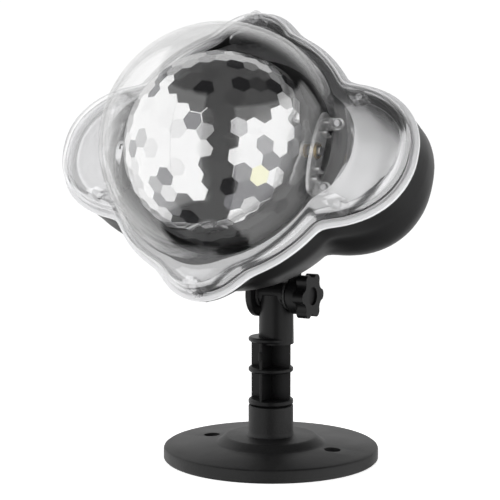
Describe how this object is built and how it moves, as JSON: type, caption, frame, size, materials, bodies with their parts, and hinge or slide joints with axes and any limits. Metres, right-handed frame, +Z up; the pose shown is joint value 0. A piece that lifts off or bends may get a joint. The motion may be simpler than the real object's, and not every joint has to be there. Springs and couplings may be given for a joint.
{
  "type": "light projector stake",
  "caption": "Outdoor snowfall light projector: cross-shaped lamp head with a clear dome and a turning faceted ball, tilting on a plug-in post in a round foot.",
  "frame": {"origin": "centre of the foot's underside", "axes": "+Z up along the post, -Y is the way the lamp faces, +X towards the tilt knob"},
  "size_m": [0.1905, 0.1669, 0.2258],
  "materials": {
    "black_plastic": "moulded ABS, fine satin texture",
    "inner_plastic": "moulded ABS, smooth",
    "clear_plastic": "clear polycarbonate, polished",
    "silver_coat": "satin vacuum-metallised plastic",
    "ball_facets": "clear acrylic with hexagonal facets",
    "steel": "zinc-plated steel",
    "brass": "turned brass",
    "aluminium": "die-cast aluminium",
    "rubber": "soft black rubber",
    "circuit_board": "green solder mask",
    "phosphor": "yellow LED phosphor"
  },
  "bodies": {
    "foot": {"foot_disc": "black_plastic"},
    "mast": {"mast_post": "black_plastic"},
    "ball": {"ball_half_right": "ball_facets", "ball_half_left": "ball_facets", "drive_shaft": "steel", "idler_pin": "steel"},
    "knob": {"star_knob": "black_plastic", "knob_insert": "brass"},
    "head": {"housing_back": "black_plastic", "housing_left": "black_plastic", "housing_right": "black_plastic", "housing_top": "black_plastic", "housing_bottom": "black_plastic", "hinge_ear_left": "black_plastic", "hinge_ear_right": "black_plastic", "cover_dome": "clear_plastic", "cover_lobe_left": "clear_plastic", "cover_lobe_right": "clear_plastic", "cover_lobe_top": "clear_plastic", "cover_lobe_bottom": "clear_plastic", "cover_gasket": "rubber", "side_panel_right": "silver_coat", "side_panel_left": "silver_coat", "end_panel_top": "silver_coat", "end_panel_bottom": "silver_coat", "inner_tray": "inner_plastic", "gear_motor": "steel", "motor_bracket": "inner_plastic", "idler_bracket": "clear_plastic", "idler_bush": "brass", "reflector_tub": "silver_coat", "led_lens": "clear_plastic", "led_emitter": "phosphor", "led_board": "aluminium", "heat_sink": "aluminium", "driver_board": "circuit_board", "driver_transformer": "rubber", "driver_capacitor": "aluminium", "led_screw_1": "steel", "led_screw_2": "steel", "cable_gland": "rubber", "gland_nut": "black_plastic", "friction_washer_left": "rubber", "friction_washer_right": "rubber", "hinge_bolt": "steel", "case_screw_1": "steel", "case_screw_2": "steel", "case_screw_3": "steel", "case_screw_4": "steel", "case_screw_5": "steel", "case_screw_6": "steel", "bracket_screw_1": "steel", "bracket_screw_2": "steel", "bracket_screw_3": "steel", "bracket_screw_4": "steel"}
  },
  "joints": [
    {"name": "pan", "type": "hinge", "parent": "foot", "child": "mast", "pos_m": [0, 0, 0.0274], "axis": [0, 0, 1], "continuous": true},
    {"name": "tilt", "type": "hinge", "parent": "mast", "child": "head", "pos_m": [0.00305, 0, 0.0846], "axis": [1, 0, 0], "range_deg": [-55, 30]},
    {"name": "knob_turn", "type": "hinge", "parent": "head", "child": "knob", "pos_m": [0.0197, 0, 0.0846], "axis": [1, 0, 0], "continuous": true},
    {"name": "ball_spin", "type": "hinge", "parent": "head", "child": "ball", "pos_m": [0.00055, -0.05022, 0.15886], "axis": [1, 0, 0], "continuous": true}
  ]
}
